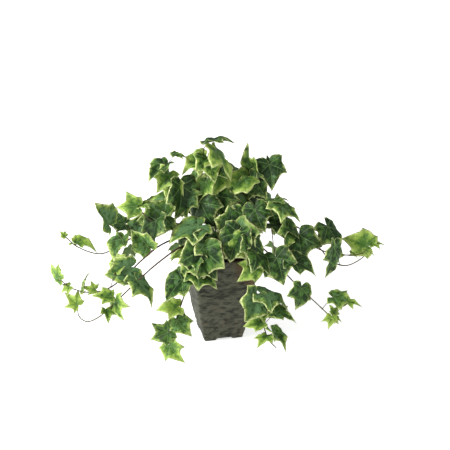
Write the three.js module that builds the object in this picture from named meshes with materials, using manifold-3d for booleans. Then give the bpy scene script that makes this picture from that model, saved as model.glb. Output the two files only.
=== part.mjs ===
// A variegated ivy in a square, tapering pot. Millimetres, +Z up, origin under the middle of the pot.
import * as THREE from 'three';
import { mergeVertices } from 'three/addons/utils/BufferGeometryUtils.js';
import Module from 'manifold-3d';

// ---- driving dimensions ----
const POT_HEIGHT = 158;
const RIM_SIDE = 110;
const FOOT_SIDE = 70;
const POT_TURN = THREE.MathUtils.degToRad(13.5);
const POT_FLARE = 1.9; // power of the curve from foot to rim
const CORNER_RADIUS = 5;
const WALL = 4.5;
const FLOOR = 8;
const FOOT_ARCH_WIDTH = 28;
const FOOT_ARCH_HEIGHT = 3;
const FOOT_ARCH_SHOULDER = 6; // how far in from each end the arch is at its full height
const WALL_STEPS = 8; // straight steps up the pot's flared outside
const INNER_STEPS = 6; // and up its inside
const CURVE_SEGMENTS = 3; // of each rounded corner
const CLEAR = 1; // how far cutting bodies pass the faces they cut
const SOIL_BELOW_RIM = 10;
const GAP = 0.35; // between pieces that touch
const SOIL_SLACK = 0.3; // more room between soil and wall, whose facets cut across the pot's flare

const STEM_RADIUS = 1.6;
const STEM_SIDES = 4;
const STALK_SIDES = 3;
const STEM_STEP = 23; // length of one straight step of a stem; leaves grow where steps meet
const STALK_RADIUS = 0.8;
const STALK_RISE = THREE.MathUtils.degToRad(50);
const LEAF_THICKNESS = 1.2;
const LEAF_ARCH = 0.16; // how far the rim drops, as a share of the leaf's length
const OWN_NODE_LEAVES = 2; // of each stem, largest first
const UPWARD_FACE = 0.95; // how much a blade faces up, against 1 for its stem's side
const OWN_FACE = 0.4; // how much it faces under its own heading
const FACE_SWAY = 30; // degrees that blades sway to either side of their stem's heading
const FACE_STEP = 2.4; // radians of that sway from one leaf to the next
const ROLL_SWAY = 38; // degrees that blades roll to either side about their midribs
const ROLL_STEP = 4.1; // radians of that sway from one leaf to the next
const ROOT_DEPTH = 3; // below the soil's surface; stems start here and are cut clear of the soil
const STALK_SINK = 0.12; // how far below the blade's middle its stalk's centre line ends

const SOIL_TOP = POT_HEIGHT - SOIL_BELOW_RIM;
const ROOT_Z = SOIL_TOP - ROOT_DEPTH;

const LOOKS = {
  pot: { color: 0x4a4c3f, roughness: 0.8 },
  soil: { color: 0x3b2d22, roughness: 0.95 },
  stem: { color: 0x7a5c3c, roughness: 0.5 },
  leaf: { color: 0x405932, roughness: 0.5 },
};

// ---- the ivy ----
// A stem is a route from the soil to its tip and the compass heading that its leaves face
// (0 to +X, 90 to +Y). A leaf is [place along the stem, stalk length, blade length, compass heading
// of its tip, degrees its tip hangs below level, degrees it is rolled about its midrib]. A leaf that
// lists no roll has one by rule.
const FRONT_STEMS = [
  {
    name: 'left_high',
    faces: 255,
    route: [[-25, 5], [-50, -5, 200], [-115, -20, 208], [-160, -40, 192], [-200, -50, 174],
      [-238, -55, 188], [-258, -60, 209]],
    leaves: [[0.52, 30, 32, 190, -5, 55], [0.55, 6, 38, 60, -60, 20], [0.6, 10, 42, 235, 30],
      [0.62, 65, 46, 235, -60, -50], [0.93, 4, 36, 350, 5, 45], [1, 3, 12, 170, -40]],
  },
  {
    name: 'left_middle',
    faces: 260,
    route: [[-25, -15], [-40, -30, 188], [-70, -45, 200], [-100, -65, 196], [-130, -80, 176],
      [-160, -100, 153], [-190, -115, 138], [-220, -118, 135], [-248, -118, 144],
      [-264, -118, 159]],
    leaves: [[0.42, 12, 40, 160, -40, 30], [0.57, 6, 44, 195, 15], [0.65, 25, 30, 110, -30],
      [0.75, 30, 26, 60, -50, 40], [0.79, 8, 22, 200, -15], [0.88, 5, 30, 80, -55, 50],
      [0.93, 4, 18, 200, 20], [1, 3, 33, 140, -30]],
  },
  {
    name: 'left_curl',
    faces: 265,
    route: [[-20, -25], [-30, -45, 180], [-60, -65, 195], [-100, -95, 180], [-140, -115, 150],
      [-170, -130, 125], [-200, -140, 100], [-220, -145, 94], [-233, -143, 104],
      [-234, -138, 120]],
    leaves: [[0.15, 12, 38, 200, 20], [0.58, 5, 50, 320, 35], [0.72, 5, 36, 290, 50, -35],
      [0.75, 14, 30, 190, -10], [0.81, 5, 26, 290, 25], [1, 3, 30, 160, -35]],
  },
  {
    name: 'front_left',
    faces: 268,
    route: [[-10, -30], [-20, -50, 174], [-40, -75, 172], [-52, -92, 145], [-60, -102, 118],
      [-75, -118, 75], [-85, -130, 36]],
    leaves: [[0.3, 12, 38, 190, -5], [0.5, 14, 46, 210, 35, -20], [0.7, 8, 34, 190, 0],
      [0.8, 8, 36, 320, 45], [0.9, 10, 36, 185, 30], [1, 6, 36, 310, 40]],
  },
  {
    name: 'front_right',
    faces: 275,
    route: [[12, -30], [25, -48, 172], [45, -70, 170], [60, -90, 130], [70, -105, 86],
      [83, -122, 48], [96, -130, 36]],
    leaves: [[0.6, 8, 46, 235, 50, 30], [0.6, 14, 50, 350, 15], [0.73, 6, 26, 340, 20],
      [0.8, 6, 32, 190, 10], [0.84, 30, 38, 350, 5], [0.9, 6, 28, 240, 10],
      [0.93, 18, 40, 320, 30, 30]],
  },
  {
    name: 'right_high',
    faces: 285,
    route: [[30, 15], [45, 18, 185], [75, 20, 205], [108, 22, 201], [144, 24, 185],
      [178, 24, 147], [197, 20, 126], [223, 16, 120], [253, 12, 140], [261, 8, 158]],
    leaves: [[0.4, 34, 36, 170, -20, 50], [0.55, 46, 52, 320, 40, 10], [0.8, 18, 24, 120, -40],
      [1, 6, 46, 165, -20, 25], [1, 8, 24, 5, -10, 40]],
  },
  {
    name: 'right_second',
    faces: 278,
    route: [[30, -5], [42, -8, 182], [80, -12, 205], [120, -15, 200], [156, -18, 176],
      [185, -20, 163], [232, -20, 157], [247, -20, 161]],
    leaves: [[0.36, 8, 46, 350, 10, 30], [0.45, 8, 42, 265, 45], [0.55, 5, 50, 285, 60],
      [0.78, 26, 56, 250, 65, 50], [0.94, 5, 18, 350, 30, 50], [1, 5, 20, 350, 10, 50]],
  },
  {
    name: 'right_low',
    faces: 278,
    route: [[25, -20], [38, -38, 180], [65, -55, 192], [90, -68, 175], [113, -80, 150],
      [131, -88, 133], [161, -98, 107], [190, -105, 80]],
    leaves: [[0.45, 8, 48, 300, 45], [0.58, 25, 46, 350, 15, 20], [0.72, 8, 38, 250, 60, 50],
      [0.88, 30, 38, 350, 10, 20], [0.97, 40, 26, 350, 0], [0.97, 8, 20, 60, -20],
      [1, 4, 22, 260, 35], [1, 4, 18, 340, 20]],
  },
  {
    name: 'top_left',
    faces: 262,
    route: [[-15, 12], [-22, 10, 200], [-45, 5, 245], [-75, 5, 280], [-90, 8, 310]],
    leaves: [[0.5, 20, 48, 300, 45], [0.6, 10, 40, 240, 50, -30], [0.7, 18, 40, 205, 65, 35],
      [0.78, 12, 58, 280, 70, 30], [0.92, 14, 38, 225, 50, 25], [1, 4, 42, 215, 20],
      [1, 22, 24, 20, 5, 40]],
  },
  {
    name: 'top_middle',
    faces: 270,
    route: [[-5, 15], [-8, 20, 210], [-15, 24, 270], [-28, 25, 334]],
    leaves: [[0.5, 20, 46, 300, 50], [0.62, 20, 42, 230, 50, -35], [0.75, 28, 28, 320, 30],
      [0.85, 10, 44, 200, 20], [0.85, 14, 46, 290, 40, 20], [0.87, 36, 58, 320, 40, 62],
      [1, 16, 44, 12, -10, 66]],
  },
  {
    name: 'top_right',
    faces: 280,
    route: [[15, 18], [22, 22, 210], [42, 28, 260], [70, 35, 290], [84, 38, 298]],
    leaves: [[0.55, 12, 52, 350, 15, 35], [0.62, 10, 46, 250, 45, 20], [0.7, 12, 42, 330, 40],
      [0.8, 12, 46, 215, 25], [0.9, 5, 50, 150, -50, 65],
      [0.97, 6, 16, 90, -60], [1, 8, 46, 290, 50, -25]],
  },
  {
    name: 'left_centre',
    faces: 255,
    route: [[-28, 5], [-45, -10, 200], [-80, -28, 222], [-113, -40, 230], [-136, -45, 256]],
    leaves: [[0.42, 10, 44, 240, 45], [0.58, 14, 52, 185, 15, 25], [0.7, 6, 48, 250, 50],
      [0.97, 4, 24, 20, -20, 50], [1, 4, 36, 180, 0, 30]],
  },
  {
    name: 'right_centre',
    faces: 285,
    route: [[20, -5], [28, -12, 205], [60, -22, 240], [98, -30, 252]],
    leaves: [[0.45, 15, 50, 220, 35, 45], [0.58, 10, 50, 260, 55, -20], [0.72, 10, 42, 290, 45],
      [0.8, 16, 36, 20, -10, 60],
      [1, 6, 48, 335, 25]],
  },
  {
    name: 'crown_left',
    faces: 264,
    route: [[-8, -18], [-15, -40, 198], [-22, -65, 205], [-30, -85, 185], [-42, -95, 155]],
    leaves: [[0.4, 34, 58, 205, 10, -30], [0.55, 10, 52, 300, 55, 30], [0.68, 10, 60, 260, 65, 25],
      [0.85, 8, 40, 200, 40], [0.85, 8, 42, 330, 35, 20], [1, 5, 44, 345, 25, 30]],
  },
  {
    name: 'crown_right',
    faces: 276,
    route: [[10, -15], [20, -40, 198], [40, -62, 210], [55, -80, 190], [62, -88, 165]],
    leaves: [[0.45, 18, 62, 310, 40], [0.55, 12, 52, 240, 50, -25], [0.7, 10, 46, 200, 35, 30],
      [0.78, 8, 44, 280, 55, 20], [0.92, 8, 48, 325, 40], [1, 4, 38, 215, 30, 35]],
  },
];

// Stems at the back grow by one rule: each leaves the soil under its heading, arches over the rim
// and hangs at its reach.
const BACK_STEMS = [
  { name: 'back_left', heading: 150, reach: 180, crest: 222, tip: 110 },
  { name: 'back_inner_left', heading: 116, reach: 160, crest: 245, tip: 85 },
  { name: 'back_middle', heading: 86, reach: 148, crest: 268, tip: 120 },
  { name: 'back_right', heading: 52, reach: 168, crest: 228, tip: 90 },
];
const BACK_SHARES = { root: 0.13, rim: 0.2, crest: 0.42, past: 0.68, fall: 0.88, tip: 0.97 }; // of reach
const BACK_RIM_Z = 190; // height at which they pass over the rim
const BACK_CREST_DROP = 15; // how far they have come down just past the crest
const BACK_LEAVES = 6;
const BACK_FIRST_LEAF = 0.3; // place along the stem
const BACK_STALK = 12;
const BACK_SIZES = { first: 54, step: 4.5 }; // blade lengths, falling by a step from each to the next
const BACK_SPREADS = { first: 60, step: 6 }; // degrees to either side of the stem's heading
const BACK_HANGS = { least: 25, step: 15, cycle: 3 }; // degrees

// One upright stem fills the middle of the plant. Its leaves stand on long stalks and turn round it
// by the golden angle. Each pair is the value at its lowest leaf and at its tip.
const CROWN_ROUTE = [[2, 28], [6, 40, 200], [4, 48, 250], [2, 50, 292]];
const CROWN_LEAVES = 7;
const CROWN_PLACES = [0.35, 1];
const CROWN_STALKS = [36, 20];
const CROWN_SIZES = [56, 44];
const CROWN_HANGS = [40, 20];
const CROWN_FIRST_HEADING = 70;
const GOLDEN_ANGLE = 137.5;

function compass(degrees) {
  const angle = THREE.MathUtils.degToRad(degrees);
  return new THREE.Vector3(Math.cos(angle), Math.sin(angle), 0);
}

function backStem({ name, heading, reach, crest, tip }) {
  const out = compass(heading);
  const at = (share, z) => [out.x * reach * share, out.y * reach * share, z];
  const route = [
    at(BACK_SHARES.root, ROOT_Z),
    at(BACK_SHARES.rim, BACK_RIM_Z),
    at(BACK_SHARES.crest, crest),
    at(BACK_SHARES.past, crest - BACK_CREST_DROP),
    at(BACK_SHARES.fall, (crest + tip) / 2),
    at(BACK_SHARES.tip, tip),
  ];
  const leaves = [];
  for (let i = 0; i < BACK_LEAVES; i += 1) {
    const place = BACK_FIRST_LEAF + ((1 - BACK_FIRST_LEAF) * i) / (BACK_LEAVES - 1);
    const side = i % 2 ? 1 : -1;
    const size = BACK_SIZES.first - BACK_SIZES.step * i;
    const spread = BACK_SPREADS.first - BACK_SPREADS.step * i;
    const hang = BACK_HANGS.least + BACK_HANGS.step * (i % BACK_HANGS.cycle);
    leaves.push([place, BACK_STALK, size, heading + side * spread, hang]);
  }
  return { name, faces: heading, route, leaves };
}

// A stem's route with its first point set just under the soil's surface.
function rooted([[x, y], ...rest]) {
  return [[x, y, ROOT_Z], ...rest];
}

function crownStem() {
  const leaves = [];
  for (let i = 0; i < CROWN_LEAVES; i += 1) {
    const share = i / (CROWN_LEAVES - 1);
    const [place, stalk, size, hang] = [CROWN_PLACES, CROWN_STALKS, CROWN_SIZES, CROWN_HANGS]
      .map(([low, tip]) => low + (tip - low) * share);
    leaves.push([place, stalk, size, CROWN_FIRST_HEADING + GOLDEN_ANGLE * i, hang]);
  }
  return { name: 'crown_back', route: rooted(CROWN_ROUTE), leaves, ownLeaves: 0 };
}

function frontStem(stem) {
  return { ...stem, route: rooted(stem.route) };
}

const STEMS = [...FRONT_STEMS.map(frontStem), ...BACK_STEMS.map(backStem), crownStem()];

// ---- solids ----
const wasm = await Module();
wasm.setup();

function solid(geometry) {
  const bare = geometry.index ? geometry.toNonIndexed() : geometry.clone();
  bare.deleteAttribute('normal');
  bare.deleteAttribute('uv');
  const merged = mergeVertices(bare, 1e-4);
  return new wasm.Manifold(new wasm.Mesh({
    numProp: 3,
    vertProperties: new Float32Array(merged.attributes.position.array),
    triVerts: new Uint32Array(merged.index.array),
  }));
}

function geometryOf(manifold) {
  const mesh = manifold.getMesh();
  const geometry = new THREE.BufferGeometry();
  geometry.setAttribute('position', new THREE.BufferAttribute(new Float32Array(mesh.vertProperties), 3));
  geometry.setIndex(new THREE.BufferAttribute(new Uint32Array(mesh.triVerts), 1));
  geometry.computeVertexNormals();
  return geometry;
}

function largest(manifold) {
  const bodies = manifold.decompose();
  return bodies.reduce((best, body) => (body.volume() > best.volume() ? body : best));
}

// ---- pot and soil ----
function halfSide(z) {
  const fall = Math.pow(Math.max(0, 1 - z / POT_HEIGHT), POT_FLARE);
  return RIM_SIDE / 2 - ((RIM_SIDE - FOOT_SIDE) / 2) * fall;
}

// A rounded square carried from one height to another, its half side following the pot's flare.
function flaredBlock(bottom, top, inset, steps) {
  const h = RIM_SIDE / 2;
  const r = CORNER_RADIUS;
  const outline = new THREE.Shape();
  outline.absarc(h - r, h - r, r, 0, Math.PI / 2);
  outline.absarc(-h + r, h - r, r, Math.PI / 2, Math.PI);
  outline.absarc(-h + r, -h + r, r, Math.PI, 1.5 * Math.PI);
  outline.absarc(h - r, -h + r, r, 1.5 * Math.PI, 2 * Math.PI);
  const block = new THREE.ExtrudeGeometry(outline, {
    depth: top - bottom, steps, bevelEnabled: false, curveSegments: CURVE_SEGMENTS,
  });
  const place = block.attributes.position;
  for (let i = 0; i < place.count; i += 1) {
    const z = bottom + place.getZ(i);
    const scale = (halfSide(z) - inset) / h;
    place.setXYZ(i, place.getX(i) * scale, place.getY(i) * scale, z);
  }
  return solid(block.rotateZ(POT_TURN));
}

function footArch(turn) {
  const arch = new THREE.Shape();
  const half = FOOT_ARCH_WIDTH / 2;
  const flat = half - FOOT_ARCH_SHOULDER;
  arch.moveTo(-half, -CLEAR);
  arch.lineTo(half, -CLEAR);
  arch.quadraticCurveTo(half - CLEAR, FOOT_ARCH_HEIGHT, flat, FOOT_ARCH_HEIGHT);
  arch.lineTo(-flat, FOOT_ARCH_HEIGHT);
  arch.quadraticCurveTo(-half + CLEAR, FOOT_ARCH_HEIGHT, -half, -CLEAR);
  const cut = new THREE.ExtrudeGeometry(arch, {
    depth: 2 * RIM_SIDE, bevelEnabled: false, curveSegments: CURVE_SEGMENTS,
  });
  cut.translate(0, 0, -RIM_SIDE).rotateX(Math.PI / 2).rotateZ(turn + POT_TURN);
  return solid(cut);
}

function pot() {
  return flaredBlock(0, POT_HEIGHT, 0, WALL_STEPS)
    .subtract(flaredBlock(FLOOR, POT_HEIGHT + CLEAR, WALL, INNER_STEPS))
    .subtract(footArch(0))
    .subtract(footArch(Math.PI / 2));
}

function soil() {
  return flaredBlock(FLOOR + GAP, SOIL_TOP, WALL + GAP + SOIL_SLACK, INNER_STEPS);
}

// ---- stems, stalks and leaves ----
function tube(curve, radius, sides, steps) {
  const section = new THREE.Shape();
  for (let i = 0; i < sides; i += 1) {
    const angle = (2 * Math.PI * i) / sides;
    const x = radius * Math.cos(angle);
    const y = radius * Math.sin(angle);
    if (i === 0) section.moveTo(x, y);
    else section.lineTo(x, y);
  }
  return solid(new THREE.ExtrudeGeometry(section, { steps, extrudePath: curve, bevelEnabled: false }));
}

// Rim of a five-lobed leaf, measured from where the stalk joins: [degrees from the tip, reach].
const LOBES = [[0, 1], [28, 0.56], [52, 0.8], [84, 0.46], [114, 0.6], [180, 0.1]];

function leafRim() {
  const right = LOBES.slice(1, -1).map(([angle, reach]) => [-angle, reach]).reverse();
  return [...LOBES, ...right];
}

// A thin disc whose rim is drawn out into the lobes and bends down towards the tips.
function blade({ joint, along, normal, size }, grow = 0) {
  const rim = leafRim();
  const thickness = LEAF_THICKNESS + 2 * grow;
  const disc = new THREE.CylinderGeometry(1, 1, thickness, rim.length, 1);
  const place = disc.attributes.position;
  for (let i = 0; i < place.count; i += 1) {
    const x = place.getX(i);
    const z = place.getZ(i);
    const height = place.getY(i);
    const onRim = Math.hypot(x, z) > 0.5;
    const turn = Math.atan2(x, z) / (2 * Math.PI);
    const [degrees, reach] = rim[(Math.round(turn * rim.length) + rim.length) % rim.length];
    const distance = onRim ? reach * size + grow : 0;
    const angle = THREE.MathUtils.degToRad(degrees);
    const drop = LEAF_ARCH * size * (distance / size) ** 2;
    place.setXYZ(i, distance * Math.cos(angle), distance * Math.sin(angle), height - drop);
  }
  const across = new THREE.Vector3().crossVectors(normal, along);
  disc.applyMatrix4(new THREE.Matrix4().makeBasis(along, across, normal).setPosition(joint));
  return solid(disc);
}

const UP = new THREE.Vector3(0, 0, 1);

function stemSteps(curve) {
  return Math.round(curve.getLength() / STEM_STEP);
}

// Where a leaf is: its stalk rises from the stem under the leaf's heading. Its upper side turns to
// the light: up, towards the heading that the stem's leaves face, and partly under its own.
function growLeaf(curve, faces, index, [place, stalk, size, heading, hang, listedRoll]) {
  const steps = stemSteps(curve);
  const root = curve.getPointAt(Math.round(place * steps) / steps);
  const out = compass(heading);
  const joint = root.clone()
    .addScaledVector(out, stalk * Math.cos(STALK_RISE))
    .addScaledVector(UP, stalk * Math.sin(STALK_RISE));
  const drop = THREE.MathUtils.degToRad(hang);
  const along = out.clone().multiplyScalar(Math.cos(drop)).addScaledVector(UP, -Math.sin(drop));
  const light = compass((faces ?? heading) + FACE_SWAY * Math.sin(FACE_STEP * index))
    .addScaledVector(out, OWN_FACE)
    .addScaledVector(UP, UPWARD_FACE);
  const level = light.addScaledVector(along, -light.dot(along)).normalize();
  const roll = THREE.MathUtils.degToRad(listedRoll ?? ROLL_SWAY * Math.sin(ROLL_STEP * (index + 1)));
  const across = new THREE.Vector3().crossVectors(level, along);
  const normal = level.multiplyScalar(Math.cos(roll)).addScaledVector(across, Math.sin(roll));
  return { root, joint, along, normal, size };
}

function stalk({ root, joint, normal }, grow = 0) {
  const end = joint.clone().addScaledVector(normal, -STALK_SINK);
  return tube(new THREE.LineCurve3(root, end), STALK_RADIUS + grow, STALK_SIDES, 1);
}

function stemTube(curve, grow = 0) {
  return tube(curve, STEM_RADIUS + grow, STEM_SIDES, stemSteps(curve));
}

const vines = STEMS.map((stem) => {
  const curve = new THREE.CatmullRomCurve3(stem.route.map((p) => new THREE.Vector3(...p)));
  const leaves = stem.leaves.map((leaf, i) => growLeaf(curve, stem.faces, i, leaf));
  const bySize = [...leaves].sort((a, b) => b.size - a.size);
  const count = stem.ownLeaves ?? OWN_NODE_LEAVES;
  return { name: stem.name, curve, own: bySize.slice(0, count), joined: bySize.slice(count) };
});

// The woody part of a vine, and the same part one gap larger, which cuts what would touch it.
function wood({ curve, own, joined }, grow) {
  return [...own, ...joined].reduce(
    (sum, leaf) => sum.add(stalk(leaf, grow)),
    stemTube(curve, grow),
  );
}

const potKeepOut = flaredBlock(-CLEAR, POT_HEIGHT + GAP, -GAP, WALL_STEPS);
const soilKeepOut = flaredBlock(ROOT_Z - 3 * STEM_RADIUS, SOIL_TOP + GAP, 0, 1);
const built = [];

function clear(body, others) {
  return largest(others.reduce((left, other) => left.subtract(other), body));
}

const woods = vines.map((vine) => ({ vine, body: wood(vine, 0), fat: wood(vine, GAP) }));
for (let i = 0; i < woods.length; i += 1) {
  woods[i].body = clear(woods[i].body, [soilKeepOut, ...woods.slice(0, i).map((other) => other.fat)]);
}

const leafCuts = [potKeepOut];
for (const { vine } of woods) {
  vine.own.forEach((leaf, i) => {
    const body = clear(blade(leaf), [...leafCuts, ...woods.map((other) => other.fat)]);
    built.push({ name: `leaf_${vine.name}_${i + 1}`, body, look: LOOKS.leaf });
    leafCuts.push(blade(leaf, GAP));
  });
}

const vineCuts = [...leafCuts];
woods.forEach(({ vine, body, fat }, i) => {
  const others = woods.filter((_, j) => j !== i).map((other) => other.fat);
  let whole = body;
  for (const leaf of vine.joined) {
    const trimmed = [...vineCuts, ...others].reduce((left, other) => left.subtract(other), blade(leaf));
    whole = whole.add(trimmed);
  }
  built.push({ name: `stem_${vine.name}`, body: largest(whole), look: LOOKS.stem });
  vineCuts.push(...vine.joined.map((leaf) => blade(leaf, GAP)), fat);
});

// ---- the scene graph ----
const ivy = new THREE.Group();

function addPiece(name, body, look) {
  const material = new THREE.MeshStandardMaterial({ ...look, metalness: 0 });
  const mesh = new THREE.Mesh(geometryOf(body), material);
  mesh.name = name;
  ivy.add(mesh);
}

addPiece('pot', pot(), LOOKS.pot);
addPiece('soil', soil(), LOOKS.soil);
for (const { name, body, look } of built) {
  addPiece(name, body, look);
}

export default ivy;
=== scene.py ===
import math

import bpy
import numpy as np
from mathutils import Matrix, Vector


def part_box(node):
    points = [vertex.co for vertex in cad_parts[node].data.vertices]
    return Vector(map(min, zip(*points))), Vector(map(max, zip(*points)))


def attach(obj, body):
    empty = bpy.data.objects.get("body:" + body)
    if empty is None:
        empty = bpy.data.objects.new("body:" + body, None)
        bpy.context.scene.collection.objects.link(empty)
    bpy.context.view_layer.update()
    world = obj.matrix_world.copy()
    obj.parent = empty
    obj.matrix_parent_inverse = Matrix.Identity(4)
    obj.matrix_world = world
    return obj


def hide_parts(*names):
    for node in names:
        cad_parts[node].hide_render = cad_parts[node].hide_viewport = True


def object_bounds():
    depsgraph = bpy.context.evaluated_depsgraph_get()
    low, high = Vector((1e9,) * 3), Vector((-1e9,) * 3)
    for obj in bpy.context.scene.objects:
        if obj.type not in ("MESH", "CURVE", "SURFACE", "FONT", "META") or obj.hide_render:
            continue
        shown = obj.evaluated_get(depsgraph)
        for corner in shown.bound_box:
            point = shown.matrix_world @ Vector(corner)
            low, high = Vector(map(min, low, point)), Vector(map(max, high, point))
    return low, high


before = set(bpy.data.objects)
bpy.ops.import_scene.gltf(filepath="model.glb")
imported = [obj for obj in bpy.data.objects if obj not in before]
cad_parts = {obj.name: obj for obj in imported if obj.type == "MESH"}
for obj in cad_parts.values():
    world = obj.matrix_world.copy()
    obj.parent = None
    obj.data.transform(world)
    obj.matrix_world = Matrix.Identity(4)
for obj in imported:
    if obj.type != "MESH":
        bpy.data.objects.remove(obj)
CAD_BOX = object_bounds()

bl_info = {
    "name": "Potted ivy",
    "version": (1, 0, 0),
    "blender": (4, 5, 0),
    "location": "View3D > Sidebar > Ivy",
    "description": "Makes a variegated ivy, its pot, its soil and a studio stage",
    "category": "Add Mesh",
}

MM = 0.001
BODY = "root"
UP = np.array([0.0, 0.0, 1.0])

# ---- the pot; its height and the soil's are read from the imported model ----
POT_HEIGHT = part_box("pot")[1].z
SOIL_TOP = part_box("soil")[1].z
RIM_HALF = 55 * MM
FOOT_HALF = 35 * MM
POT_TURN = math.radians(13.5)
POT_FLARE = 1.9  # power of the curve from foot to rim
CORNER_SHARE = 0.1  # a corner's radius, as a share of the half side
WALL = 4.5 * MM
FLOOR = 8 * MM
FOOT_ARCH_HALF = 14 * MM
FOOT_ARCH_HEIGHT = 3 * MM
SOIL_CLEARANCE = 0.7 * MM  # between the soil and the wall

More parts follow.
